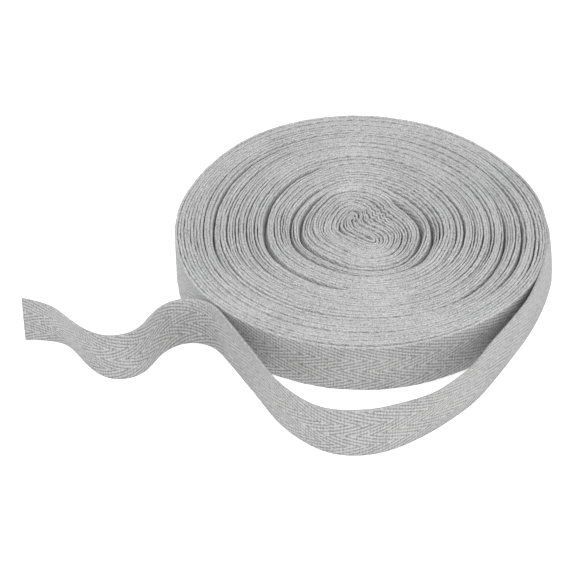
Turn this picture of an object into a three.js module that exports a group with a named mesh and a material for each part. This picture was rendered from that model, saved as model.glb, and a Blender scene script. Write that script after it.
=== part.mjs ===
// A roll of cotton twill tape that lies flat, with its loose end standing on edge beside it.
// Millimetres and degrees, +Z up. The origin is under the middle of the roll, on the surface it
// lies on. Angles run counter-clockwise from +X, seen from above.
import * as THREE from "three";

// The tape and the roll
const TAPE_WIDTH = 20;
const TAPE_THICKNESS = 1;
const CLEARANCE = 0.3;
const RADII_STEP = 30;
const TOP_ANGLE = 90;
const ROOT_ANGLE = 25;
const ROOT_SLOT = 0.4;
const LEAVING_ANGLE = 10;
const OUTER_TURN = 57.5;
const EDGE_ROUNDING = 0.35;
const UNEVENNESS = 0.5;

// The tape starts as a narrow S-shaped fold. Each row is a place around it: its compass angle,
// a point on the fold's inner slit, and the point where FOLD_TURNS turns have been laid around it.
const FOLD_TURNS = 4;
const SLIT_TURN = 0.3;
const SLIT_LIP = 0.75;
const SLIT_DEPTH = 4;
const FOLDS = [
  { angle: 0, slitX: 2.2, slitY: -8.4, edgeX: 6.0, edgeY: -5.4 },
  { angle: 25, slitX: -0.6, slitY: -6.4, edgeX: 1.8, edgeY: -2.8 },
  { angle: 50, slitX: -3.0, slitY: -4.2, edgeX: -0.4, edgeY: -0.2 },
  { angle: 80, slitX: -4.4, slitY: -0.8, edgeX: 0.4, edgeY: 4.6 },
  { angle: 105, slitX: -3.2, slitY: 3.4, edgeX: -2.6, edgeY: 8.2 },
  { angle: 150, slitX: -4.3, slitY: 1.4, edgeX: -6.8, edgeY: 4.4 },
  { angle: 185, slitX: -4.6, slitY: -1.0, edgeX: -8.8, edgeY: -2.6 },
  { angle: 205, slitX: -3.6, slitY: -3.6, edgeX: -7.6, edgeY: -6.2 },
  { angle: 230, slitX: -1.4, slitY: -5.8, edgeX: -3.6, edgeY: -9.4 },
  { angle: 255, slitX: 1.0, slitY: -7.6, edgeX: -0.4, edgeY: -12.4 },
  { angle: 280, slitX: 3.2, slitY: -9.8, edgeX: 3.2, edgeY: -14.6 },
  { angle: 315, slitX: 4.3, slitY: -10.4, edgeX: 7.2, edgeY: -13.2 },
  { angle: 345, slitX: 3.4, slitY: -9.5, edgeX: 8.2, edgeY: -8.9 },
];

// Outlines of the roll's main rings, counted in turns from the slit: radii from the middle at
// every RADII_STEP degrees. The roll is a little oval and dented, as a hand-wound one is.
const RINGS = [
  { turn: 17, radii: [22.4, 20.0, 20.8, 22.4, 21.9, 20.8, 21.9, 24.2, 24.5, 27.1, 27.9, 24.5] },
  { turn: 20, radii: [26.2, 24.4, 25.0, 26.2, 25.7, 24.7, 25.7, 27.5, 27.8, 30.1, 30.8, 28.4] },
  { turn: 29, radii: [38.6, 37.3, 37.8, 39.2, 37.2, 35.2, 35.2, 36.9, 37.0, 38.8, 40.6, 39.7] },
  { turn: 42, radii: [51.3, 50.9, 51.6, 52.8, 51.2, 48.7, 49.2, 51.2, 51.0, 51.5, 52.8, 52.3] },
  { turn: 49, radii: [58.5, 57.6, 59.0, 60.5, 59.9, 58.2, 57.9, 59.7, 59.4, 59.2, 59.4, 58.9] },
  { turn: 58.2, radii: [68.6, 67.5, 69.0, 69.3, 69.0, 67.6, 68.8, 70.0, 69.2, 69.0, 68.6, 69.2] },
];

// Where neighbouring turns stand apart: the gap opens between two angles and fades at its ends.
const GAP_FADE = 18;
const GAP_HALF = 0.08;
const GAP_LIP = 0.3;
const GAPS = [
  { turn: 4, width: 0.4, depth: 3, from: 110, to: 370 },
  { turn: 8, width: 0.3, depth: 1.5, from: 15, to: 95 },
  { turn: 13, width: 0.4, depth: 1.5, from: -60, to: 40 },
  { turn: 17, width: 1.3, depth: 6, from: 122, to: 417 },
  { turn: 20, width: 0.8, depth: 5, from: -60, to: 64 },
  { turn: 20, width: 0.5, depth: 4, from: 118, to: 270 },
  { turn: 29, width: 1.0, depth: 5, from: 108, to: 210 },
  { turn: 29, width: 0.5, depth: 3, from: -35, to: 55 },
  { turn: 35, width: 0.6, depth: 3, from: 125, to: 235 },
  { turn: 42, width: 0.6, depth: 3, from: -60, to: 205 },
  { turn: 46, width: 0.6, depth: 3, from: -40, to: 220 },
  { turn: 49, width: 0.8, depth: 4, from: -35, to: 35 },
  { turn: 49, width: 0.4, depth: 2, from: 135, to: 210 },
  { turn: 57, width: 0.5, depth: 3, from: 200, to: 310 },
];
const BASE_GROOVE_TURNS = [17, 29];
const BASE_GROOVE_DEPTH = 1.5;

// The loose end, from where it leaves the roll: the length of each bend along the surface,
// how far it turns to the left, and how far its top edge leans to the right where it ends.
const BENDS = [
  { length: 13, turn: 0, lean: 3 },
  { length: 12, turn: -29, lean: 6 },
  { length: 36, turn: -16, lean: 0 },
  { length: 28, turn: -3, lean: 2 },
  { length: 14, turn: -12, lean: -3 },
  { length: 16, turn: -7, lean: -5 },
  { length: 14, turn: -10, lean: 2 },
  { length: 14, turn: -26, lean: 4 },
  { length: 14.5, turn: -36, lean: -2 },
  { length: 22, turn: -26, lean: -3 },
  { length: 30, turn: 3, lean: 0 },
  { length: 20.5, turn: 80, lean: 5 },
  { length: 14.5, turn: 35, lean: 2 },
  { length: 14, turn: -75, lean: -3 },
  { length: 13, turn: -31, lean: -10 },
  { length: 8, turn: 2, lean: -11 },
  { length: 12.5, turn: 44, lean: -5 },
  { length: 3, turn: 2, lean: -2 },
];
const LEAVING_HEADING = -76;
const END_SLANT = 1.6;

// How finely the two solids are faceted
const ROLL_COLUMNS = 80;
const WALL_HEIGHTS = [0.7, 0.35];
const ROOT_STEPS = 6;
const BEND_STEP = 2.8;
const SHEET_HEIGHTS = [0, 1 / 3, 2 / 3, 1];

const radians = THREE.MathUtils.degToRad;
const lerp = THREE.MathUtils.lerp;
const smoothstep = THREE.MathUtils.smoothstep;

// A smooth closed curve through rows that each hold an angle and a value, read at any angle.
function aroundRows(rows, key, angle) {
  const count = rows.length;
  const at = THREE.MathUtils.euclideanModulo(angle, 360);
  let index = rows.findLastIndex((row) => row.angle <= at);
  if (index < 0) index = count - 1;
  const row = (step) => {
    const place = index + step;
    const lap = Math.floor(place / count);
    const source = rows[place - lap * count];
    return { angle: source.angle + 360 * lap, value: source[key] };
  };
  const [before, start, end, after] = [row(-1), row(0), row(1), row(2)];
  const span = end.angle - start.angle;
  const startSlope = ((end.value - before.value) / (end.angle - before.angle)) * span;
  const endSlope = ((after.value - start.value) / (after.angle - start.angle)) * span;
  const t = THREE.MathUtils.euclideanModulo(at - start.angle, 360) / span;
  const rise = t * t * (3 - 2 * t);
  const curve = startSlope * t * (1 - t) * (1 - t) - endSlope * t * t * (1 - t);
  return lerp(start.value, end.value, rise) + curve;
}

// The outlines that the turns pass through, from the slit to the outside.
function outlines() {
  const folded = [
    { turn: 0, at: (angle) => [aroundRows(FOLDS, "slitX", angle), aroundRows(FOLDS, "slitY", angle)] },
    {
      turn: FOLD_TURNS,
      at: (angle) => [aroundRows(FOLDS, "edgeX", angle), aroundRows(FOLDS, "edgeY", angle)],
    },
  ];
  const round = RINGS.map(({ turn, radii }) => {
    const rows = radii.map((radius, index) => ({ angle: index * RADII_STEP, radius }));
    const at = (angle) => {
      const radius = aroundRows(rows, "radius", angle);
      return [radius * Math.cos(radians(angle)), radius * Math.sin(radians(angle))];
    };
    return { turn, at };
  });
  return [...folded, ...round];
}

const OUTLINES = outlines();

// How far a gap has opened at an angle, from 0 to 1.
function opening(gap, angle) {
  const middle = (gap.from + gap.to) / 2;
  const offset = Math.abs(THREE.MathUtils.euclideanModulo(angle - middle + 180, 360) - 180);
  return 1 - smoothstep(offset, (gap.to - gap.from) / 2 - GAP_FADE, (gap.to - gap.from) / 2);
}

// Turns and open gaps laid side by side, as a distance across the roll.
function spread(turn, angle) {
  const open = GAPS.map((gap) => {
    const share = smoothstep(turn, gap.turn - GAP_HALF, gap.turn + GAP_HALF);
    return share * gap.width * opening(gap, angle);
  });
  return turn + open.reduce((sum, width) => sum + width, 0);
}

// The place of a turn, counted from the slit, at a compass angle.
function place(turn, angle) {
  const next = OUTLINES.findIndex((outline) => outline.turn > turn);
  const outer = OUTLINES[next < 0 ? OUTLINES.length - 1 : next];
  const inner = OUTLINES[OUTLINES.indexOf(outer) - 1];
  const start = spread(inner.turn, angle);
  const share = (spread(turn, angle) - start) / (spread(outer.turn, angle) - start);
  const [innerX, innerY] = inner.at(angle);
  const [outerX, outerY] = outer.at(angle);
  return [lerp(innerX, outerX, share), lerp(innerY, outerY, share)];
}

// Some turns stand a little lower than others, and each one rises and falls on its way round.
function topHeight(turn, angle) {
  const wave = Math.sin(2.1 * turn) * Math.cos(radians(2 * angle) + turn);
  return TAPE_WIDTH - (UNEVENNESS * (1 - wave)) / 2;
}

// The roll's outer face, where the outermost turn ends at the root of the loose end.
function outerTurn(angle) {
  return OUTER_TURN + (TOP_ANGLE - angle) / 360;
}

// One ring of the roll's skin: its turn at an angle, and its height there.
function ring(turnAt, heightAt) {
  const loop = [];
  for (let column = 0; column < ROLL_COLUMNS; column += 1) {
    const share = column / (ROLL_COLUMNS - 1);
    const angle = ROOT_ANGLE + ROOT_SLOT - 360 + share * (360 - ROOT_SLOT);
    const turn = turnAt(angle);
    const [x, y] = place(turn, angle);
    loop.push(new THREE.Vector3(x, y, heightAt(turn, angle)));
  }
  return loop;
}

// The four rings that make one groove, from its inner lip to its outer one.
function grooveRings(turn, lipHeight, bottomHeight) {
  return [
    ring(() => turn - GAP_LIP, lipHeight),
    ring(() => turn - GAP_HALF, bottomHeight),
    ring(() => turn + GAP_HALF, bottomHeight),
    ring(() => turn + GAP_LIP, lipHeight),
  ];
}

// Triangles that close a flat loop, in the loop's own direction.
function capFaces(flatLoop) {
  return THREE.ShapeUtils.triangulateShape(flatLoop, []);
}

// A closed skin over a row of loops, each with the same number of points.
function skin(loops, flatStart, flatEnd) {
  const width = loops[0].length;
  const positions = loops.flat().flatMap((point) => [point.x, point.y, point.z]);
  const faces = [];
  for (let row = 0; row < loops.length - 1; row += 1) {
    for (let column = 0; column < width; column += 1) {
      const a = row * width + column;
      const d = row * width + ((column + 1) % width);
      faces.push([a, a + width, d + width], [a, d + width, d]);
    }
  }
  const last = (loops.length - 1) * width;
  faces.push(...capFaces(flatStart));
  faces.push(...capFaces(flatEnd).map(([a, b, c]) => [last + c, last + b, last + a]));
  const geometry = new THREE.BufferGeometry();
  geometry.setAttribute("position", new THREE.Float32BufferAttribute(positions, 3));
  geometry.setIndex(faces.flat());
  geometry.computeVertexNormals();
  return geometry;
}

// The wound roll: its top with the slit and the open gaps, its wall, and its level base.
function rollGeometry() {
  const loops = [];
  const rounded = (depth) => (turn, angle) => topHeight(turn, angle) - depth;
  loops.push(ring(() => SLIT_TURN, rounded(SLIT_DEPTH)));
  loops.push(ring(() => SLIT_LIP, rounded(0)));
  const gapTurns = [...new Set(GAPS.map((gap) => gap.turn))];
  for (const turn of gapTurns) {
    const deepest = (_, angle) => {
      const depths = GAPS.filter((gap) => gap.turn === turn).map((gap) => gap.depth * opening(gap, angle));
      return topHeight(turn, angle) - Math.max(...depths);
    };
    loops.push(...grooveRings(turn, rounded(0), deepest));
  }
  loops.push(ring((angle) => outerTurn(angle) - GAP_HALF, rounded(0)));
  loops.push(ring(outerTurn, rounded(EDGE_ROUNDING)));
  for (const share of WALL_HEIGHTS) loops.push(ring(outerTurn, () => share * TAPE_WIDTH));
  loops.push(ring(outerTurn, () => EDGE_ROUNDING));
  loops.push(ring((angle) => outerTurn(angle) - GAP_HALF, () => 0));
  for (const turn of BASE_GROOVE_TURNS.toReversed()) {
    loops.push(...grooveRings(turn, () => 0, () => BASE_GROOVE_DEPTH).toReversed());
  }
  loops.push(ring(() => FOLD_TURNS, () => 0));
  const flat = (loop) => loop.map((point) => new THREE.Vector2(point.x, point.y));
  return skin(loops, flat(loops[0]), flat(loops[loops.length - 1]));
}

// The loose end's route along the surface: where it lies, its heading and its lean.
function looseRoute() {
  const outward = CLEARANCE + TAPE_THICKNESS / 2;
  const route = [];
  for (let step = 0; step <= ROOT_STEPS; step += 1) {
    const angle = lerp(ROOT_ANGLE - ROOT_SLOT, LEAVING_ANGLE, step / ROOT_STEPS);
    const [x, y] = place(outerTurn(angle), angle);
    const reach = 1 + outward / Math.hypot(x, y);
    const heading = lerp(ROOT_ANGLE - TOP_ANGLE, LEAVING_HEADING, step / ROOT_STEPS);
    route.push({ x: x * reach, y: y * reach, heading, lean: 0 });
  }
  for (const bend of BENDS) {
    const steps = Math.ceil(bend.length / BEND_STEP);
    const from = route.at(-1);
    for (let step = 1; step <= steps; step += 1) {
      const last = route.at(-1);
      const middle = radians(last.heading + bend.turn / steps / 2);
      route.push({
        x: last.x + (bend.length / steps) * Math.cos(middle),
        y: last.y + (bend.length / steps) * Math.sin(middle),
        heading: last.heading + bend.turn / steps,
        lean: lerp(from.lean, bend.lean, step / steps),
      });
    }
  }
  return route;
}

// The tape's section at one place of the route, standing on the surface on its lower edge.
function sheetLoop({ x, y, heading, lean }, slant) {
  const forward = new THREE.Vector3(Math.cos(radians(heading)), Math.sin(radians(heading)), 0);
  const right = new THREE.Vector3(forward.y, -forward.x, 0);
  const rise = new THREE.Vector3(0, 0, Math.cos(radians(lean))).addScaledVector(right, Math.sin(radians(lean)));
  const across = new THREE.Vector3().crossVectors(rise, forward).negate();
  const half = TAPE_THICKNESS / 2;
  const foot = new THREE.Vector3(x, y, half * Math.abs(Math.sin(radians(lean))));
  const point = (side, share) =>
    foot
      .clone()
      .addScaledVector(across, side * half)
      .addScaledVector(rise, share * TAPE_WIDTH)
      .addScaledVector(forward, share * slant);
  const rightSide = SHEET_HEIGHTS.map((share) => point(1, share));
  const leftSide = SHEET_HEIGHTS.toReversed().map((share) => point(-1, share));
  return [...rightSide, ...leftSide];
}

// The flat shape of a section, for closing the two ends of the loose end.
function flatSheetLoop() {
  const rightSide = SHEET_HEIGHTS.map((share) => new THREE.Vector2(1, share));
  const leftSide = SHEET_HEIGHTS.toReversed().map((share) => new THREE.Vector2(-1, share));
  return [...rightSide, ...leftSide];
}

function looseEndGeometry() {
  const route = looseRoute();
  const loops = route.map((stop, index) => sheetLoop(stop, index === route.length - 1 ? END_SLANT : 0));
  return skin(loops, flatSheetLoop(), flatSheetLoop());
}

function cloth(name, color, roughness) {
  const material = new THREE.MeshStandardMaterial({ color, roughness, metalness: 0 });
  material.name = name;
  return material;
}

const tapeRoll = new THREE.Group();

const wound = new THREE.Mesh(rollGeometry(), cloth("wound_tape", 0xb4b4b4, 0.95));
wound.name = "wound_roll";
tapeRoll.add(wound);

const loose = new THREE.Mesh(looseEndGeometry(), cloth("loose_tape", 0xb0b0b0, 0.9));
loose.name = "loose_end";
tapeRoll.add(loose);

export default tapeRoll;
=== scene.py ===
"""A roll of cotton twill tape that lies flat, with its loose end standing on edge beside it.

The tape is one long woven strip, wound clockwise from a folded start out to the loose end.
Shapes are worked out in millimetres and degrees, and each mesh is made in metres. +Z is up, the
origin is under the middle of the roll, and angles run counter-clockwise from +X.
"""

import math

import bpy
import numpy as np
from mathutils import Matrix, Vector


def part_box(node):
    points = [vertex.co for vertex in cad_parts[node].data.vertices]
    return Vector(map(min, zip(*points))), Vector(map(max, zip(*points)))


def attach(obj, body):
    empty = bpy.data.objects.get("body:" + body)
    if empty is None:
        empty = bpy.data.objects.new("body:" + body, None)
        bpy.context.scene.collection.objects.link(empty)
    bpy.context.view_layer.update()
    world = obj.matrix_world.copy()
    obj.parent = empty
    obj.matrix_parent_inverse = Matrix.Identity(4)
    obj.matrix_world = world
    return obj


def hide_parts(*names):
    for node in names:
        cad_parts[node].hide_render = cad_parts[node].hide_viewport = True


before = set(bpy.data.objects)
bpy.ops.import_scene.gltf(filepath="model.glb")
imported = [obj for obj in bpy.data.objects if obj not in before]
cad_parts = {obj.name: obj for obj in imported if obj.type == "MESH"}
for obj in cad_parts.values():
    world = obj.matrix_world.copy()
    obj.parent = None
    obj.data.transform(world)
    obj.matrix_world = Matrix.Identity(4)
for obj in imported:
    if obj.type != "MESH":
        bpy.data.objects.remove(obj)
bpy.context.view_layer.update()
ROLL_LOW, ROLL_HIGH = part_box("wound_roll")

bl_info = {
    "name": "Cotton Tape Roll",
    "version": (1, 0, 0),
    "blender": (4, 5, 0),
    "location": "3D View > Sidebar > Tape Roll",
    "description": "Winds a roll of cotton twill tape and lays out its loose end",
    "category": "Object",
}

MM = 0.001

# The start of the tape is folded into an S. Each row is a place around the fold: its compass
# angle, a point on the inner slit, and the point where FOLD_TURNS turns lie around it.
FOLD_TURNS = 4
FOLDS = [
    # angle, slit x, slit y, edge x, edge y
    (0, 2.2, -8.4, 6.0, -5.4),
    (25, -0.6, -6.4, 1.8, -2.8),
    (50, -3.0, -4.2, -0.4, -0.2),
    (80, -4.4, -0.8, 0.4, 4.6),
    (105, -3.2, 3.4, -2.6, 8.2),
    (150, -4.3, 1.4, -6.8, 4.4),
    (185, -4.6, -1.0, -8.8, -2.6),
    (205, -3.6, -3.6, -7.6, -6.2),
    (230, -1.4, -5.8, -3.6, -9.4),
    (255, 1.0, -7.6, -0.4, -12.4),
    (280, 3.2, -9.8, 3.2, -14.6),
    (315, 4.3, -10.4, 7.2, -13.2),
    (345, 3.4, -9.5, 8.2, -8.9),
]

# Outlines of the main rings, counted in turns from the slit: radii at every RADII_STEP degrees.
RADII_STEP = 30
RINGS = [
    (17, (22.4, 20.0, 20.8, 22.4, 21.9, 20.8, 21.9, 24.2, 24.5, 27.1, 27.9, 24.5)),
    (20, (26.2, 24.4, 25.0, 26.2, 25.7, 24.7, 25.7, 27.5, 27.8, 30.1, 30.8, 28.4)),
    (29, (38.6, 37.3, 37.8, 39.2, 37.2, 35.2, 35.2, 36.9, 37.0, 38.8, 40.6, 39.7)),
    (42, (51.3, 50.9, 51.6, 52.8, 51.2, 48.7, 49.2, 51.2, 51.0, 51.5, 52.8, 52.3)),
    (49, (58.5, 57.6, 59.0, 60.5, 59.9, 58.2, 57.9, 59.7, 59.4, 59.2, 59.4, 58.9)),
    (58.2, (69.3, 68.5, 69.5, 69.8, 69.1, 67.6, 68.8, 70.0, 69.2, 69.0, 68.6, 69.9)),
]

# Where neighbouring turns stand apart. A gap's width is counted in turns, it opens and closes over
# GAP_FADE degrees, and it lies within GAP_HALF of a turn on either side of its own turn.
GAP_FADE = 18
GAP_HALF = 0.08
GAPS = [
    # turn, width, from angle, to angle
    (3, 0.6, 110, 250),
    (4, 0.25, 240, 370),
    (8, 0.3, 15, 95),
    (13, 0.4, -60, 40),
    (17, 1.9, 122, 417),
    (17, 1.5, 195, 262),
    (20, 1.3, -60, 68),
    (20, 0.8, 118, 285),
    (20, 0.9, 195, 255),
    (23, 0.15, -55, 60),
    (24, 0.3, 120, 215),
    (26, 0.4, 115, 240),
    (27, 0.4, -45, 70),
    (28, 0.5, 105, 165),
    (29, 2.1, 103, 262),
    (30, 0.6, 50, 128),
    (29, 0.6, -45, 60),
    (32, 0.4, 130, 245),
    (33, 0.4, -55, 40),
    (35, 0.6, 125, 235),
    (36, 0.5, -50, 55),
    (39, 0.3, 140, 240),
    (39, 0.5, -55, 60),
    (41, 0.6, 35, 100),
    (42, 0.6, 110, 205),
    (44, 0.9, -58, 110),
    (46, 0.6, 110, 220),
    (47, 0.7, 30, 135),
    (48, 0.4, -40, 40),
    (49, 0.3, 135, 200),
    (50, 1.0, -45, 80),
    (51, 0.6, 75, 125),
    (54, 0.8, -38, 45),
    (55, 0.35, 60, 120),
    (57, 0.3, 230, 310),
]

# Where turns have sunk between the gaps, in shares of VALLEY_DEPTH
DIPS = [
    # turn, depth, from angle, to angle
    (29.7, 1.2, 50, 130),
    (38.0, 0.8, 40, 120),
    (41.3, 1.2, 35, 130),
    (44.2, 0.9, 60, 130),
    (47.4, 1.3, 35, 135),
    (51.2, 1.2, 35, 125),
    (54.6, 0.8, 60, 125),
]

# Where the middle is crumpled into small waves that cross its turns
CREASES = [
    # centre x and y, reach, push to either side, spacing, direction
    (7.0, 5.0, 3.6, 0.55, 3.1, -50),
    (-1.2, 2.4, 2.4, 0.40, 2.9, 75),
]

# The wound turns, counted from the slit. Whole turns begin at TOP_ANGLE, and the tape's last
# turn ends at ROOT_ANGLE, where the loose end begins. The tape starts at FIRST_TURN, no nearer
# to the slit than CLOSEST_LEVEL. A turn fills the share FILL of its room, but is never thinner
# than THINNEST.
TOP_ANGLE = 90
ROOT_ANGLE = 25
FIRST_TURN = 0.52
CLOSEST_LEVEL = 0.42
LAST_WRAP = 57 + (TOP_ANGLE - ROOT_ANGLE) / 360
ROOT_TURN = LAST_WRAP + 1
SAMPLES_PER_TURN = 1080
FILL = 0.95
THINNEST = 0.62

# How unevenly the roll is wound: the share of it that shows at the front and back, the share of
# the thickness that loose turns lose, and how far whole turns shift sideways
FRONT_SHARE = 0.70
LOOSENESS = 0.40
TURN_SHIFT = 0.17

# The left side of the rim is wound more evenly: the turns over which this sets in, the share of
# the unevenness that it takes away at the far left, and the least share that is left
TIGHT_TURNS = (47.5, 50.5)
TIGHTNESS = 1.1
LEAST_UNEVEN = 0.1

# How far turns sink beside a gap one turn wide or in a dip of depth one, over how many turns
# that fades, and how many times as far they may sink
VALLEY_DEPTH = 0.80
VALLEY_REACH = 0.9
DEEPEST_VALLEY = 1.2

# The slow swell of the top edges: half its depth, how fast it changes from turn to turn, and how
# often it comes in one turn
SWELL_DEPTH = 0.25
SWELL_CHANGE = 2.1
SWELLS_PER_TURN = 2.0

# The woven edge, scalloped by the cross yarns: their spacing and the share of the thickness
SCALLOP_SPACING = 1.1
SCALLOP_DEPTH = 0.07

# How far the top edge stands above the tape's width, how far the feet of the wound turns and of
# the loose end hover, how much of a raised turn's lift its foot follows, and how much smoother
# the top edge of the loose end is
TOP_RISE = 0.05
WOUND_FOOT_RISE = 0.06
LOOSE_FOOT_RISE = 0.02
FOOT_FOLLOWS = 0.6
LOOSE_SMOOTHER = 0.3

# What wavers at random: the spacing of its knots, its strength and its seed. Names that start
# with turn_ waver with the number of the turn, the others with the distance along the tape.
WAVERS = {
    "side_fine": (1.7, 0.6, 11),
    "side_broad": (5.1, 0.7, 12),
    "turn_height": (0.31, 0.8, 13),
    "height": (7.0, 0.25, 14),
    "edge_fine": (0.9, 0.045, 15),
    "edge_broad": (3.1, 0.03, 16),
    "wound_foot": (6.0, 1.0, 17),
    "loose_foot": (9.0, 1.0, 18),
    "turn_looseness": (0.19, 1.0, 19),
    "looseness": (4.0, 0.25, 20),
    "scallops": (0.55, 0.08, 21),
    "turn_groups": (1.4, 1.0, 22),
    "turn_shift": (0.23, 1.0, 23),
}

# The loose end lifts off the roll up to LEAVING_ANGLE, from ROOT_OFFSET to LEAVING_OFFSET, both
# measured from LEAVING_TURN, the line between the last two turns. It then follows BENDS: each
# bend's length along the floor, how far it turns to the left, and how far its top edge leans to
# the right where the bend ends.
LEAVING_TURN = LAST_WRAP + 0.5
LEAVING_ANGLE = 10
LEAVING_HEADING = -76
LEAVING_LEAN = 2.5
LEAVING_STEPS = 60
ROOT_OFFSET = 0.5
LEAVING_OFFSET = 1.4
BENDS = [
    # length, turn, lean
    (13, -4.5, 8),
    (12, -24.5, 8),
    (36, -16, 0),
    (28, -3, 2),
    (14, -12, -3),
    (16, -7, -5),
    (14, -10, 2),
    (14, -26, 4),
    (14.5, -36, -2),
    (22, -26, -3),
    (34.7, 3, -1),
    (8, 38, 2),
    (12, 56, 5),
    (9.5, 28, 3.5),
    (3.5, 0, 3.5),
    (11, -55, 3),
    (9.5, -50, -3),
    (9, -16, -9),
    (8.5, 6, -12),
    (6.5, 38, -10),
    (5, 7, -6),
    (7.2, 8, -1),
]

# How far the top corner of the cut end lies back, and over which length
END_SLANT = -0.7
SLANT_LENGTH = 7.0

# How far the loose tape's face bows in and out, and the length of tape for a radian of that wave
BOW = 0.35
BOW_LENGTH = 23.0

# How far the foot of the outermost wrap stands out at the front of the roll
WALL_FLARE = 1.1

# The tape's run is sampled at RUN_STEP, and its bends and leans are rounded off. It loosens
# between the two distances of LOOSENING, measured from its root.
RUN_STEP = 0.2
WOUND_ROUNDING = 0.35
LOOSE_ROUNDING = 2.2
LEAN_ROUNDING = 3.0
LOOSENING = (-30.0, 5.0)

# The rounded edges of the tape's section: angles over the top edge and under the lower one
EDGE_DEPTH = 0.32
TOP_ARC = (0, 42, 90, 138, 180)
FOOT_ARC = (180, 360)

# Shares of the height at which the section has points between its edges: all the way down where
# a face of the tape shows, and one place where a wound turn swells to fill its room
WALL_SHARES = tuple(share / 14 for share in range(1, 14))
BELLY_SHARES = (0.80,)

# The share of its room that a swollen turn fills, and how many turns from the start of the tape
# don't swell towards the slit
BELLY_FILL = 0.98
FLAT_TURNS = 1.15

# The length of the mesh's steps along the outer wrap and the loose tape
WRAP_STEP = 0.5
LOOSE_STEP = 0.4

# The herringbone: shares of the width, from the top edge, where the weave changes direction, and
# how far its ribs, its cross yarns, those on the ribs and its lengthwise yarns stand out
STRIPE_ENDS = (0.31, 0.54, 0.76)
TWILL_REPEAT = 4
RIB_HEIGHT = 0.50
CROSS_HEIGHT = 0.16
CROSS_ON_RIB = 0.30
WARP_HEIGHT = 0.12

# The woven edges: where they begin, as a share of the half width, and their height and beads
SELVEDGE = (0.945, 0.965)
SELVEDGE_HEIGHT = 0.52
BEAD_HEIGHT = 0.10

# The noises in the cotton: their scales, and how much the fibres add to the relief
FIBRE_SCALE = 2300.0
SLUB_SCALE = 900.0
PATCH_SCALE = 70.0
FIBRE_RELIEF = 0.7

# How much the cotton's colour follows the height of the weave, darkening towards its hollows as
# painted shade, and how much it follows each of the noises, as tone that differs at random
WEAVE_SHADE = 1.05
FIBRE_TONE = 2.5
SLUB_TONE = 0.45
PATCH_TONE = 0.35

# Painted light and shade on each slot's copy of the same cotton: how bright it is drawn, the loose
# tape darker as painted shade
SLOT_LIGHT_AND_SHADE = {"wound_tape": 1.02, "loose_tape": 0.83}

# The large soft lamps: name, share of the lamp power, and place
LAMP_SIZE = 0.7
LAMPS = [
    ("front_lamp", 1.20, (0.20, -0.95, 0.75)),
    ("left_lamp", 0.85, (-1.0, -0.45, 0.5)),
    ("right_lamp", 0.80, (1.0, -0.45, 0.5)),
    ("top_lamp", 1.00, (0.0, 0.25, 1.2)),
]

# The camera, its target on the floor and its framing
CAMERA_TARGET = (-0.02691, -0.0147, 0.0)
CAMERA_DISTANCE = 0.621
CAMERA_ELEVATION = 40.35
CAMERA_LENS = 104.25
CAMERA_SENSOR = 36.0


# Settings

class TapeSizes(bpy.types.PropertyGroup):
    """Sizes of the tape and how evenly it is wound."""

    width: bpy.props.FloatProperty(
        name="Tape Width",
        description="Width of the tape, which is also the height of the roll",
        default=ROLL_HIGH.z - ROLL_LOW.z,
        min=0.005,
        max=0.1,
        unit="LENGTH",
    )
    thickness: bpy.props.FloatProperty(
        name="Tape Thickness",
        description="Thickness of the tape where it is not squeezed",
        default=0.00100,
        min=0.0003,
        max=0.003,
        unit="LENGTH",
    )
    turn_height: bpy.props.FloatProperty(
        name="Turn Height Difference",
        description="How far whole turns stand above or below their neighbours",
        default=0.00042,
        min=0.0,
        max=0.002,
        unit="LENGTH",
    )
    edge_wobble: bpy.props.FloatProperty(
        name="Edge Wobble",
        description="How far the edge of the tape wavers from side to side",
        default=0.00014,
        min=0.0,
        max=0.001,
        unit="LENGTH",
    )


class WeaveLook(bpy.types.PropertyGroup):
    """The cotton yarn and its herringbone weave."""

    yarn_colour: bpy.props.FloatVectorProperty(
        name="Yarn Colour",
        description="Colour of the crowns of the cotton yarns",
        default=(0.56, 0.56, 0.56),
        min=0.0,
        max=1.0,
        size=3,
        subtype="COLOR",
    )
    # Painted shade: the colour of the shaded hollows between the yarns, which the weave's height mixes
    # in
    hollow_shade_colour: bpy.props.FloatVectorProperty(
        name="Hollow Colour",
        description="Colour of the hollows between the yarns",
        default=(0.20, 0.20, 0.20),
        min=0.0,
        max=1.0,
        size=3,
        subtype="COLOR",
    )
    warp_ends: bpy.props.IntProperty(
        name="Warp Ends",
        description="Number of yarns side by side over the width of the tape",
        default=56,
        min=12,
        max=200,
    )
    pick_spacing: bpy.props.FloatProperty(
        name="Pick Spacing",
        description="Distance along the tape from one cross yarn to the next",
        default=0.0011,
        min=0.0002,
        max=0.005,
        unit="LENGTH",
    )
    relief: bpy.props.FloatProperty(
        name="Weave Relief",
        description="How far the yarns stand out of the weave",
        default=0.00016,
        min=0.0,
        max=0.001,
        unit="LENGTH",
    )


class StudioLook(bpy.types.PropertyGroup):
    """The floor and the lights."""

    floor_colour: bpy.props.FloatVectorProperty(
        name="Floor Colour",
        description="Colour of the plain floor",
        default=(0.65, 0.65, 0.65),
        min=0.0,
        max=1.0,
        size=3,
        subtype="COLOR",
    )
    floor_glow: bpy.props.FloatProperty(
        name="Floor Glow",
        description="How much the floor glows, which keeps it white under the roll's soft shadow",
        default=0.68,
        min=0.0,
        max=10.0,
    )
    sky_strength: bpy.props.FloatProperty(
        name="Sky Strength",
        description="Strength of the soft light from all round",
        default=0.50,
        min=0.0,
        max=10.0,
    )
    lamp_power: bpy.props.FloatProperty(
        name="Lamp Power",
        description="Power of a large soft lamp whose share is one",
        default=5.2,
        min=0.0,
        max=1000.0,
        unit="POWER",
    )


# The winding

def smoothstep(values, low, high):
    """Rises smoothly from 0 at low to 1 at high."""
    share = np.clip((np.asarray(values, float) - low) / (high - low), 0.0, 1.0)
    return share * share * (3.0 - 2.0 * share)


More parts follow.
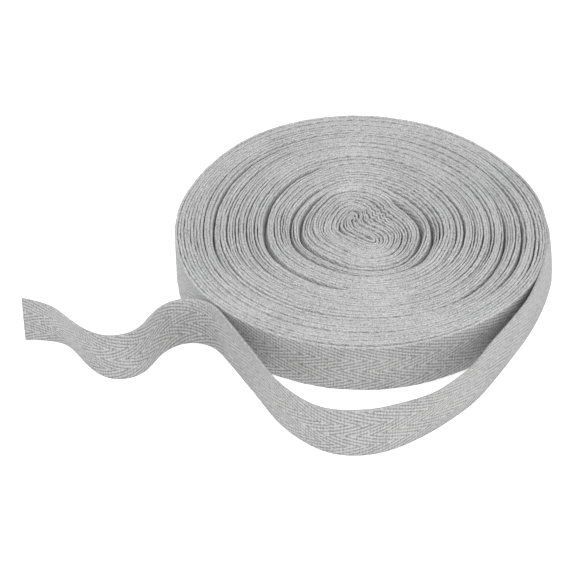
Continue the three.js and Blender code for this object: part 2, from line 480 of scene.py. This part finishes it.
def closed_curve(angles, values, at):
    """A smooth closed curve through values that are given at angles, read at other angles."""
    knots = np.array([angles[-1] - 360.0, *angles, angles[0] + 360.0, angles[1] + 360.0])
    heights = np.array([values[-1], *values, values[0], values[1]], float)
    at = np.mod(at, 360.0)
    start = np.clip(np.searchsorted(knots, at, side="right") - 1, 1, len(knots) - 3)
    span = knots[start + 1] - knots[start]
    rise_before = (heights[start + 1] - heights[start - 1]) / (knots[start + 1] - knots[start - 1])
    rise_after = (heights[start + 2] - heights[start]) / (knots[start + 2] - knots[start])
    t = (at - knots[start]) / span
    straight = heights[start] + (heights[start + 1] - heights[start]) * t * t * (3.0 - 2.0 * t)
    return straight + span * (rise_before * t * (1.0 - t) ** 2 - rise_after * t * t * (1.0 - t))


def outline_points(index, angle):
    """Points of one of the outlines that the turns pass through, from the slit outwards."""
    if index < 2:
        column = 1 + 2 * index
        angles = [row[0] for row in FOLDS]
        x = closed_curve(angles, [row[column] for row in FOLDS], angle)
        y = closed_curve(angles, [row[column + 1] for row in FOLDS], angle)
        return np.stack([x, y])
    radii = RINGS[index - 2][1]
    radius = closed_curve([RADII_STEP * step for step in range(len(radii))], radii, angle)
    return radius * np.stack([np.cos(np.radians(angle)), np.sin(np.radians(angle))])


OUTLINE_TURNS = [0, FOLD_TURNS, *(ring[0] for ring in RINGS)]


def off_middle(angle, start, end):
    """How far angles lie from the middle between two others, in degrees."""
    return np.abs(np.mod(angle - (start + end) / 2 + 180.0, 360.0) - 180.0)


def spread(turn, angle):
    """Turns and open gaps laid side by side, as a distance across the roll."""
    total = np.asarray(turn, float) + np.zeros_like(angle)
    for gap_turn, width, start, end in GAPS:
        offset = off_middle(angle, start, end)
        half = (end - start) / 2
        opening = 1.0 - smoothstep(offset, half - GAP_FADE, half)
        total = total + width * opening * smoothstep(turn, gap_turn - GAP_HALF, gap_turn + GAP_HALF)
    return total


def creased(points):
    """Points of the turns, pushed to and fro together where the middle of the roll is crumpled."""
    x, y = points
    for centre_x, centre_y, reach, push, spacing, heading in CREASES:
        forward_x, forward_y = math.cos(math.radians(heading)), math.sin(math.radians(heading))
        near = np.exp(-0.5 * ((x - centre_x) ** 2 + (y - centre_y) ** 2) / reach ** 2)
        along = (x - centre_x) * forward_x + (y - centre_y) * forward_y
        shift = push * near * np.sin(2.0 * math.pi * along / spacing)
        x, y = x - forward_y * shift, y + forward_x * shift
    return np.stack([x, y])


def place(turn, angle):
    """The place of a turn, counted from the slit, at a compass angle, as rows of x and y."""
    turn, angle = np.broadcast_arrays(np.asarray(turn, float), np.asarray(angle, float))
    here = spread(turn, angle)
    outer = np.clip(np.searchsorted(OUTLINE_TURNS, turn, side="right"), 1, len(OUTLINE_TURNS) - 1)
    points = np.zeros((2, *turn.shape))
    for index in range(1, len(OUTLINE_TURNS)):
        chosen = outer == index
        if not chosen.any():
            continue
        at = angle[chosen]
        start = spread(OUTLINE_TURNS[index - 1], at)
        end = spread(OUTLINE_TURNS[index], at)
        share = (here[chosen] - start) / (end - start)
        inside = outline_points(index - 1, at)
        outside = outline_points(index, at)
        points[:, chosen] = inside + (outside - inside) * share
    return creased(points)


def level(turn):
    """Where a turn's middle lies, in turns: the first turns are squeezed up to the slit."""
    squeezed = turn - FIRST_TURN * (1.0 - smoothstep(turn, 1.0, FOLD_TURNS))
    return np.maximum(squeezed, CLOSEST_LEVEL)


def left_of(x, y):
    """Unit vectors to the left of a line's travel."""
    step = np.stack([np.gradient(x), np.gradient(y)])
    step = step / np.maximum(np.hypot(*step), 1e-9)
    return np.stack([-step[1], step[0]])


def wound_line(thickest):
    """The wound part of the tape: its turn, its middle line, its thickness at the edges, and its
    thickness on each side where it swells to fill its room."""
    count = int((ROOT_TURN - FIRST_TURN) * SAMPLES_PER_TURN)
    turn = np.linspace(FIRST_TURN, ROOT_TURN, count)
    angle = TOP_ANGLE - 360.0 * turn
    x, y = place(level(turn), angle)
    left = left_of(x, y)
    outside = place(level(turn + 1.0), angle) - np.stack([x, y])
    inside = np.stack([x, y]) - place(level(np.maximum(turn - 1.0, FIRST_TURN)), angle)
    room_outside = (outside * left).sum(0)
    room_inside = np.where(turn < FIRST_TURN + 1.0, room_outside, (inside * left).sum(0))
    thickness = np.clip(FILL * np.minimum(room_outside, room_inside), THINNEST, thickest)
    room_inside = np.where(turn < FIRST_TURN + FLAT_TURNS, 0.0, room_inside)
    bellies = [np.maximum(BELLY_FILL * room, thickness) for room in (room_outside, room_inside)]
    return turn, x, y, thickness, *bellies


def loose_line():
    """The loose end's middle line along the floor, and its lean."""
    angle = np.linspace(ROOT_ANGLE, LEAVING_ANGLE, LEAVING_STEPS)
    x, y = place(LEAVING_TURN + (ROOT_ANGLE - angle) / 360.0, angle)
    away = smoothstep(ROOT_ANGLE - angle, 0.0, ROOT_ANGLE - LEAVING_ANGLE)
    reach = 1.0 + (ROOT_OFFSET + (LEAVING_OFFSET - ROOT_OFFSET) * away) / np.hypot(x, y)
    xs = list(x * reach)
    ys = list(y * reach)
    leans = list(LEAVING_LEAN * away)
    heading = float(LEAVING_HEADING)
    for length, turn, lean in BENDS:
        steps = math.ceil(length / RUN_STEP)
        start_lean = leans[-1]
        for step in range(1, steps + 1):
            middle = math.radians(heading + turn / steps / 2)
            xs.append(xs[-1] + length / steps * math.cos(middle))
            ys.append(ys[-1] + length / steps * math.sin(middle))
            leans.append(start_lean + (lean - start_lean) * step / steps)
            heading += turn / steps
    return np.array(xs), np.array(ys), np.array(leans)


def rounded(values, reach):
    """Values along the run, smoothed over a reach in millimetres with both ends kept."""
    half = int(3 * reach / RUN_STEP)
    offsets = np.arange(-half, half + 1) * RUN_STEP
    weights = np.exp(-0.5 * (offsets / reach) ** 2)
    padded = np.pad(values, half, mode="reflect", reflect_type="odd")
    return np.convolve(padded, weights / weights.sum(), mode="valid")


def waver(distance, name):
    """Smooth random values along a distance, up to the strength that WAVERS gives the name."""
    spacing, strength, seed = WAVERS[name]
    random = np.random.RandomState(seed)
    last = distance.max() / spacing
    knots = random.uniform(-1.0, 1.0, int(last) + 4)
    at = distance / spacing
    index = np.floor(at).astype(int)
    t = at - index
    t = t * t * (3.0 - 2.0 * t)
    return strength * (knots[index] * (1.0 - t) + knots[index + 1] * t)


def tape_run(sizes):
    """The whole tape from its folded start to its cut end, every RUN_STEP along it."""
    width = sizes.width / MM
    turn, x, y, thickness, outside, inside = wound_line(sizes.thickness / MM)
    loose_x, loose_y, loose_lean = loose_line()
    added = len(loose_x) - 1
    turn = np.concatenate([turn, np.full(added, ROOT_TURN)])
    x = np.concatenate([x, loose_x[1:]])
    y = np.concatenate([y, loose_y[1:]])
    thickness, outside, inside = (
        np.concatenate([values, np.full(added, values[-1])]) for values in (thickness, outside, inside)
    )
    lean = np.concatenate([np.zeros(len(x) - added), loose_lean[1:]])
    distance = np.concatenate([[0.0], np.cumsum(np.hypot(np.diff(x), np.diff(y)))])
    run = {"distance": np.arange(0.0, distance[-1], RUN_STEP)}
    measured = {"turn": turn, "x": x, "y": y, "thickness": thickness, "lean": lean}
    measured.update(outside=outside, inside=inside)
    for name, values in measured.items():
        run[name] = np.interp(run["distance"], distance, values)
    run["root"] = float(np.interp(ROOT_TURN - 1e-6, turn, distance))
    free = smoothstep(run["distance"] - run["root"], *LOOSENING)
    for name in ("x", "y"):
        wound = rounded(run[name], WOUND_ROUNDING)
        loose = rounded(run[name], LOOSE_ROUNDING)
        run[name] = wound + (loose - wound) * free
    run["lean"] = rounded(run["lean"], LEAN_ROUNDING)
    run["thickness"] = rounded(run["thickness"], WOUND_ROUNDING)
    run["free"] = free
    add_wander(run, sizes, width)
    run["heading"] = np.unwrap(np.arctan2(np.gradient(run["y"]), np.gradient(run["x"])))
    return run


def valleys(turn, angle):
    """How deep the turns sink beside the open gaps and in the dips, from 0 to about 1."""
    depth = np.zeros_like(turn)
    for gap_turn, width, start, end in GAPS + DIPS:
        offset = off_middle(angle, start, end)
        half = (end - start) / 2 + GAP_FADE
        opening = 1.0 - smoothstep(offset, half - 2.0 * GAP_FADE, half)
        depth = depth + width * opening * np.exp(-0.5 * ((turn - gap_turn) / VALLEY_REACH) ** 2)
    return np.minimum(depth, DEEPEST_VALLEY)


def swell(turn, angle):
    """A slow swell of the top edges, from 0 to 2, that differs from turn to turn."""
    phase = np.radians(SWELLS_PER_TURN * angle) + turn
    return 1.0 - np.sin(SWELL_CHANGE * turn) * np.cos(phase)


def add_wander(run, sizes, width):
    """Adds the small unevenness of a hand-wound roll: sideways, and at both edges."""
    distance, turn = run["distance"], run["turn"]
    angle = TOP_ANGLE - 360.0 * turn
    wound = 1.0 - run["free"]
    left = left_of(run["x"], run["y"])
    uneven = FRONT_SHARE + (1.0 - FRONT_SHARE) * np.cos(np.radians(angle)) ** 2
    tight = TIGHTNESS * smoothstep(turn, *TIGHT_TURNS) * (0.5 - 0.5 * np.cos(np.radians(angle)))
    uneven = uneven * np.maximum(LEAST_UNEVEN, 1.0 - tight)

    wobble = waver(distance, "side_fine") + waver(distance, "side_broad")
    shift = TURN_SHIFT * waver(turn, "turn_shift") * uneven
    sideways = (sizes.edge_wobble / MM * wobble + shift) * wound
    run["x"] = run["x"] + left[0] * sideways
    run["y"] = run["y"] + left[1] * sideways

    loose = np.maximum(0.0, waver(turn, "turn_looseness") + waver(distance, "looseness"))
    scallop = SCALLOP_DEPTH * np.sin(2.0 * math.pi * distance / SCALLOP_SPACING)
    scallop = scallop + waver(distance, "scallops")
    run["thickness"] = run["thickness"] * (1.0 + (scallop - LOOSENESS * loose * uneven) * wound)

    sunk = SWELL_DEPTH * swell(turn, angle) + VALLEY_DEPTH * valleys(turn, angle)
    turn_rise = (waver(turn, "turn_height") + waver(distance, "height")) * uneven
    turn_rise = turn_rise + waver(turn, "turn_groups")
    lift = (sizes.turn_height / MM) * turn_rise
    fine = waver(distance, "edge_fine") + waver(distance, "edge_broad")
    fine = fine * (1.0 - LOOSE_SMOOTHER * run["free"])
    run["high"] = width + TOP_RISE - sunk * wound + lift * wound + fine

    wound_foot = WOUND_FOOT_RISE * (1.0 + waver(distance, "wound_foot"))
    wound_foot = wound_foot + FOOT_FOLLOWS * np.maximum(0.0, lift)
    loose_foot = LOOSE_FOOT_RISE * (1.0 + waver(distance, "loose_foot"))
    run["low"] = wound_foot * wound + loose_foot * run["free"]

    front = np.maximum(0.0, -np.sin(np.radians(angle)))
    run["flare"] = WALL_FLARE * front**1.5 * wound * (turn > LAST_WRAP)


# Meshes

def section(wall_shares):
    """The tape's section, up its outer face, over its top edge and down its inner face.

    Gives each point's side, its share of the height between the two edges, and its share of
    EDGE_DEPTH beyond them."""
    points = []
    for share in wall_shares:
        points.append((1.0, share, 0.0))
    for arc in TOP_ARC:
        points.append((math.cos(math.radians(arc)), 1.0, math.sin(math.radians(arc))))
    for share in reversed(wall_shares):
        points.append((-1.0, share, 0.0))
    for arc in FOOT_ARC:
        points.append((math.cos(math.radians(arc)), 0.0, math.sin(math.radians(arc))))
    return np.array(points).T


# What the strips read from the tape's run
RUN_VALUES = (
    "x", "y", "thickness", "outside", "inside", "lean", "flare", "heading", "low", "high", "free",
)


def strip_points(run, sizes, start, end, step, wall_shares):
    """Points and weave coordinates of a stretch of the tape."""
    count = max(2, round((end - start) / step) + 1)
    at = np.linspace(start, end, count)
    value = {}
    for name in RUN_VALUES:
        value[name] = np.interp(at, run["distance"], run[name])[:, None]
    side, share, beyond = section(wall_shares)
    width = sizes.width / MM
    lean = np.radians(value["lean"])
    forward_x, forward_y = np.cos(value["heading"]), np.sin(value["heading"])
    left_x, left_y = -forward_y, forward_x
    height = value["high"] - value["low"]
    up = EDGE_DEPTH + share * (height - 2.0 * EDGE_DEPTH) + beyond * EDGE_DEPTH
    across = up / height
    half = value["thickness"] / 2.0
    bow = value["free"] * BOW * np.sin(at / BOW_LENGTH)[:, None] * (1.0 - (2.0 * across - 1.0) ** 2)
    if wall_shares == BELLY_SHARES:
        # A wound turn swells between its edges, to either side as far as its room allows.
        belly = np.where(side > 0.0, value["outside"], value["inside"]) / 2.0
        half = np.where((share > 0.0) & (share < 1.0), np.maximum(belly, half), half)
    out = side * half + bow + value["flare"] * (1.0 - across)
    foot = value["low"] + value["thickness"] / 2.0 * np.abs(np.sin(lean))
    length = run["distance"][-1]
    slant = END_SLANT * across * smoothstep(at, length - SLANT_LENGTH, length)[:, None]
    sideways = np.cos(lean) * out - np.sin(lean) * up
    x = value["x"] + left_x * sideways + forward_x * slant
    y = value["y"] + left_y * sideways + forward_y * slant
    z = foot + np.cos(lean) * up + np.sin(lean) * out
    points = np.stack([x, y, np.maximum(z, 0.0)], axis=-1) * MM
    along = np.broadcast_to(at[:, None] / width, x.shape)
    weave = np.stack([along, np.broadcast_to(across, x.shape)], axis=-1)
    return points, weave


def strip_object(name, points, weave, material):
    """A closed strip of cloth made from rows of section points."""
    rows, columns, _ = points.shape
    index = np.arange(rows * columns).reshape(rows, columns)
    beside = np.roll(index, -1, axis=1)
    quads = np.stack([index[:-1], beside[:-1], beside[1:], index[1:]], axis=-1).reshape(-1, 4)
    corners = np.concatenate([quads.ravel(), index[0][::-1], index[-1]])
    sizes = np.concatenate([np.full(len(quads), 4), [columns, columns]])
    starts = np.concatenate([[0], np.cumsum(sizes)[:-1]])
    mesh = bpy.data.meshes.new(name)
    mesh.vertices.add(rows * columns)
    mesh.vertices.foreach_set("co", points.reshape(-1).astype(np.float32))
    mesh.loops.add(len(corners))
    mesh.loops.foreach_set("vertex_index", corners.astype(np.int32))
    mesh.polygons.add(len(sizes))
    mesh.polygons.foreach_set("loop_start", starts.astype(np.int32))
    smooth = np.ones(len(sizes), bool)
    smooth[-2:] = False
    mesh.polygons.foreach_set("use_smooth", smooth)
    layer = mesh.uv_layers.new(name="weave")
    layer.data.foreach_set("uv", weave.reshape(-1, 2)[corners].astype(np.float32).ravel())
    mesh.update(calc_edges=True)
    mesh.validate()
    mesh.materials.append(material)
    piece = bpy.data.objects.new(name, mesh)
    bpy.context.scene.collection.objects.link(piece)
    return piece


# Material

class Wiring:
    """Adds nodes to a material and joins them."""

    def __init__(self, tree):
        self.tree = tree

    def node(self, kind, **settings):
        """A new node of a kind, with its settings."""
        made = self.tree.nodes.new(kind)
        for name, value in settings.items():
            setattr(made, name, value)
        return made

    def join(self, source, socket):
        """Gives a socket a number, or the output of another node."""
        if isinstance(source, (int, float)):
            socket.default_value = source
        else:
            self.tree.links.new(source, socket)

    def math(self, operation, *values):
        """The result of one sum."""
        made = self.node("ShaderNodeMath", operation=operation)
        for value, socket in zip(values, made.inputs):
            self.join(value, socket)
        return made.outputs[0]

    def ramp(self, value, low, high):
        """Rises smoothly from 0 at low to 1 at high."""
        made = self.node("ShaderNodeMapRange", interpolation_type="SMOOTHSTEP")
        self.join(value, made.inputs["Value"])
        made.inputs["From Min"].default_value = low
        made.inputs["From Max"].default_value = high
        return made.outputs["Result"]

    def noise(self, vector, scale):
        """A cloudy noise around 0.5."""
        made = self.node("ShaderNodeTexNoise")
        self.join(vector, made.inputs["Vector"])
        made.inputs["Scale"].default_value = scale
        made.inputs["Detail"].default_value = 2.0
        made.inputs["Roughness"].default_value = 0.5
        return made.outputs["Fac"]

    def blend(self, share, first, second):
        """A number between two numbers."""
        made = self.node("ShaderNodeMix", data_type="FLOAT")
        self.join(share, made.inputs[0])
        self.join(first, made.inputs[2])
        self.join(second, made.inputs[3])
        return made.outputs[0]


def arch(wiring, value):
    """Round humps, one for each whole number that the value passes."""
    fraction = wiring.math("FRACT", value)
    centred = wiring.math("MULTIPLY_ADD", fraction, 2.0, -1.0)
    return wiring.math("SUBTRACT", 1.0, wiring.math("MULTIPLY", centred, centred))


def twill_height(wiring, along, across, look, width):
    """The count of cross yarns along the tape, and how far the herringbone stands out."""
    picks = wiring.math("MULTIPLY", along, width / look.pick_spacing)
    ends = wiring.math("MULTIPLY", wiring.math("SUBTRACT", 1.0, across), float(look.warp_ends))
    end = wiring.math("ADD", wiring.math("FLOOR", ends), 0.5)
    # The ribs' slant turns back at the end of each stripe.
    zigzag = end
    direction = -2.0
    for share in STRIPE_ENDS:
        past = wiring.math("MAXIMUM", wiring.math("SUBTRACT", end, round(share * look.warp_ends)), 0.0)
        zigzag = wiring.math("MULTIPLY_ADD", past, direction, zigzag)
        direction = -direction
    phase = wiring.math("MULTIPLY", wiring.math("ADD", picks, zigzag), 2.0 * math.pi / TWILL_REPEAT)
    rib = wiring.math("MULTIPLY_ADD", wiring.math("SINE", phase), 0.5, 0.5)
    beat = arch(wiring, picks)
    crown = wiring.math("MULTIPLY_ADD", rib, CROSS_ON_RIB, CROSS_HEIGHT)
    crowns = wiring.math("MULTIPLY", beat, crown)
    ribs = wiring.math("MULTIPLY_ADD", rib, RIB_HEIGHT, crowns)
    return picks, wiring.math("MULTIPLY_ADD", arch(wiring, ends), WARP_HEIGHT, ribs)


def cotton_material(name, slot, look, sizes):
    """Matt grey cotton with a herringbone weave, and beaded selvedges at both edges, with painted
    shade in the hollows of the weave and a lighter or darker copy for each slot.
    """
    material = bpy.data.materials.new(name)
    material.use_nodes = True
    tree = material.node_tree
    tree.nodes.clear()
    wiring = Wiring(tree)
    place_on_tape = wiring.node("ShaderNodeUVMap", uv_map="weave").outputs["UV"]
    parts = wiring.node("ShaderNodeSeparateXYZ")
    wiring.join(place_on_tape, parts.inputs[0])
    along, across = parts.outputs[0], parts.outputs[1]
    position = wiring.node("ShaderNodeTexCoord").outputs["Object"]
    picks, weave = twill_height(wiring, along, across, look, sizes.width)
    from_edge = wiring.math("ABSOLUTE", wiring.math("MULTIPLY_ADD", across, 2.0, -1.0))
    selvedge = wiring.ramp(from_edge, *SELVEDGE)
    beads = wiring.math("MULTIPLY_ADD", arch(wiring, picks), BEAD_HEIGHT, SELVEDGE_HEIGHT)
    height = wiring.blend(selvedge, weave, beads)
    fibres = wiring.noise(position, FIBRE_SCALE)
    slubs = wiring.noise(position, SLUB_SCALE)
    patches = wiring.noise(position, PATCH_SCALE)
    # Painted shade: the colour darkens from the yarn colour to the hollow shade colour where the weave
    # sinks, and the noises add tone that differs at random.
    shade_and_tone = wiring.math("MULTIPLY", height, WEAVE_SHADE)
    for noise, strength in ((fibres, FIBRE_TONE), (slubs, SLUB_TONE), (patches, PATCH_TONE)):
        shade_and_tone = wiring.math("MULTIPLY_ADD", wiring.math("SUBTRACT", noise, 0.5), strength, shade_and_tone)
    colour = wiring.node("ShaderNodeMix", data_type="RGBA", clamp_factor=True)
    wiring.join(shade_and_tone, colour.inputs[0])
    # Painted light and shade: each slot's copy of the same cotton is drawn lighter or darker.
    share = SLOT_LIGHT_AND_SHADE[slot]
    colour.inputs[6].default_value = (*(share * part for part in look.hollow_shade_colour), 1.0)
    colour.inputs[7].default_value = (*(share * part for part in look.yarn_colour), 1.0)
    bumpy = wiring.math("MULTIPLY_ADD", fibres, FIBRE_RELIEF, height)
    bump = wiring.node("ShaderNodeBump")
    bump.inputs["Strength"].default_value = 1.0
    bump.inputs["Distance"].default_value = look.relief
    wiring.join(bumpy, bump.inputs["Height"])
    shader = wiring.node("ShaderNodeBsdfPrincipled")
    wiring.join(colour.outputs[2], shader.inputs["Base Color"])
    wiring.join(bump.outputs["Normal"], shader.inputs["Normal"])
    shader.inputs["Roughness"].default_value = 0.92
    shader.inputs["Specular IOR Level"].default_value = 0.15
    shader.inputs["Sheen Weight"].default_value = 0.12
    shader.inputs["Sheen Roughness"].default_value = 0.6
    output = wiring.node("ShaderNodeOutputMaterial")
    wiring.join(shader.outputs["BSDF"], output.inputs["Surface"])
    return material


def cotton(slot, scene):
    """The cotton material of a slot, made once."""
    name = slot + "_twill"
    return bpy.data.materials.get(name) or cotton_material(
        name, slot, scene.tape_weave, scene.tape_sizes
    )


# Pieces

def dress(piece, node):
    """Puts a piece in place of its CAD node."""
    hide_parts(node)
    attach(piece, "root")


def make_stretch(scene, name, start, end, step, wall_shares, node, slot):
    """Makes one stretch of the tape, between two distances along it in millimetres."""
    sizes = scene.tape_sizes
    points, weave = strip_points(RUN, sizes, start, end, step, wall_shares)
    piece = strip_object(name, points, weave, cotton(slot, scene))
    dress(piece, node)


def distance_at(turn):
    """The distance along the tape where a turn begins."""
    return float(np.interp(turn, RUN["turn"], RUN["distance"]))


# The tape's run, filled in by the operator that winds the turns and read by all the pieces
RUN = {}

# Name, first turn, last turn and mesh step of the wound stretches, from the middle outwards
WOUND_STRETCHES = [
    ("wound_core", FIRST_TURN, 17, 0.28),
    ("wound_inner_turns", 17, 30, 0.33),
    ("wound_middle_turns", 30, 42, 0.33),
    ("wound_outer_turns", 42, 50, 0.33),
    ("wound_last_turns", 50, LAST_WRAP, 0.33),
]


class TAPE_OT_wind_turns(bpy.types.Operator):
    """Winds the turns of the roll, from the folded start to the last turn but one"""

    bl_idname = "tape.wind_turns"
    bl_label = "Wind the Turns"

    def execute(self, context):
        RUN.update(tape_run(context.scene.tape_sizes))
        for name, first, last, step in WOUND_STRETCHES:
            make_stretch(
                context.scene, name, distance_at(first), distance_at(last), step, BELLY_SHARES,
                "wound_roll", "wound_tape",
            )
        return {"FINISHED"}


class TAPE_OT_outer_wrap(bpy.types.Operator):
    """Wraps the last turn, whose woven face is the wall of the roll"""

    bl_idname = "tape.outer_wrap"
    bl_label = "Wrap the Outer Turn"

    def execute(self, context):
        start, end = distance_at(LAST_WRAP), RUN["root"]
        make_stretch(
            context.scene, "outer_wrap", start, end, WRAP_STEP, WALL_SHARES, "wound_roll",
            "wound_tape",
        )
        return {"FINISHED"}


class TAPE_OT_loose_end(bpy.types.Operator):
    """Lays out the loose end, which stands on its lower edge"""

    bl_idname = "tape.loose_end"
    bl_label = "Lay Out the Loose End"

    def execute(self, context):
        start, end = RUN["root"], float(RUN["distance"][-1])
        make_stretch(
            context.scene, "loose_tape", start, end, LOOSE_STEP, WALL_SHARES, "loose_end",
            "loose_tape",
        )
        return {"FINISHED"}


# Stage

def floor_object(look):
    """A plain pale floor that reaches past the picture."""
    mesh = bpy.data.meshes.new("floor")
    half = 3.0
    corners = [(-half, -half, 0), (half, -half, 0), (half, half, 0), (-half, half, 0)]
    mesh.from_pydata(corners, [], [(0, 1, 2, 3)])
    material = bpy.data.materials.new("floor_paint")
    material.use_nodes = True
    shader = material.node_tree.nodes["Principled BSDF"]
    shader.inputs["Base Color"].default_value = (*look.floor_colour, 1.0)
    shader.inputs["Roughness"].default_value = 0.9
    shader.inputs["Specular IOR Level"].default_value = 0.1
    shader.inputs["Emission Color"].default_value = (1.0, 1.0, 1.0, 1.0)
    shader.inputs["Emission Strength"].default_value = look.floor_glow
    mesh.materials.append(material)
    floor = bpy.data.objects.new("floor", mesh)
    bpy.context.scene.collection.objects.link(floor)


def soft_lamp(name, power, size, location, target):
    """A large square lamp that points at a target."""
    data = bpy.data.lights.new(name, "AREA")
    data.energy = power
    data.shape = "SQUARE"
    data.size = size
    lamp = bpy.data.objects.new(name, data)
    lamp.location = location
    aim = np.array(target) - np.array(location)
    flat = math.hypot(aim[0], aim[1])
    lamp.rotation_euler = (math.atan2(flat, -aim[2]), 0.0, math.atan2(aim[1], aim[0]) - math.pi / 2)
    bpy.context.scene.collection.objects.link(lamp)


def picture_camera(scene):
    """The camera at the photograph's angle."""
    data = bpy.data.cameras.new("camera")
    data.lens = CAMERA_LENS
    data.sensor_width = CAMERA_SENSOR
    camera = bpy.data.objects.new("camera", data)
    elevation = math.radians(CAMERA_ELEVATION)
    x, y, z = CAMERA_TARGET
    camera.location = (
        x,
        y - CAMERA_DISTANCE * math.cos(elevation),
        z + CAMERA_DISTANCE * math.sin(elevation),
    )
    camera.rotation_euler = (math.pi / 2 - elevation, 0.0, 0.0)
    scene.collection.objects.link(camera)
    scene.camera = camera


class TAPE_OT_stage(bpy.types.Operator):
    """Sets up the floor, the soft light and the camera"""

    bl_idname = "tape.stage"
    bl_label = "Set Up the Studio"

    def execute(self, context):
        scene = context.scene
        look = scene.tape_studio
        picture_camera(scene)
        floor_object(look)
        for name, share, spot in LAMPS:
            soft_lamp(name, share * look.lamp_power, LAMP_SIZE, spot, (0.0, 0.0, 0.0))
        world = bpy.data.worlds.new("studio_sky")
        world.use_nodes = True
        background = world.node_tree.nodes["Background"]
        background.inputs["Color"].default_value = (1.0, 1.0, 1.0, 1.0)
        background.inputs["Strength"].default_value = look.sky_strength
        scene.world = world
        scene.view_settings.view_transform = "Standard"
        return {"FINISHED"}


class TAPE_PT_roll(bpy.types.Panel):
    """Lists the settings and the steps that make the roll"""

    bl_idname = "TAPE_PT_roll"
    bl_label = "Tape Roll"
    bl_space_type = "VIEW_3D"
    bl_region_type = "UI"
    bl_category = "Tape Roll"

    def draw(self, context):
        layout = self.layout
        for group_name in ("tape_sizes", "tape_weave", "tape_studio"):
            group = getattr(context.scene, group_name)
            box = layout.box()
            for name in group.bl_rna.properties.keys():
                if name not in ("rna_type", "name"):
                    box.prop(group, name)
        for step in STEPS:
            layout.operator(step.bl_idname)


STEPS = (TAPE_OT_stage, TAPE_OT_wind_turns, TAPE_OT_outer_wrap, TAPE_OT_loose_end)
GROUPS = {"tape_sizes": TapeSizes, "tape_weave": WeaveLook, "tape_studio": StudioLook}


def register():
    for group in GROUPS.values():
        bpy.utils.register_class(group)
    for name, group in GROUPS.items():
        setattr(bpy.types.Scene, name, bpy.props.PointerProperty(type=group))
    for step in STEPS:
        bpy.utils.register_class(step)
    bpy.utils.register_class(TAPE_PT_roll)


def unregister():
    bpy.utils.unregister_class(TAPE_PT_roll)
    for step in reversed(STEPS):
        bpy.utils.unregister_class(step)
    for name, group in GROUPS.items():
        delattr(bpy.types.Scene, name)
        bpy.utils.unregister_class(group)


def main():
    register()
    bpy.ops.tape.stage()
    bpy.ops.tape.wind_turns()
    bpy.ops.tape.outer_wrap()
    bpy.ops.tape.loose_end()


if __name__ == "__main__":
    main()
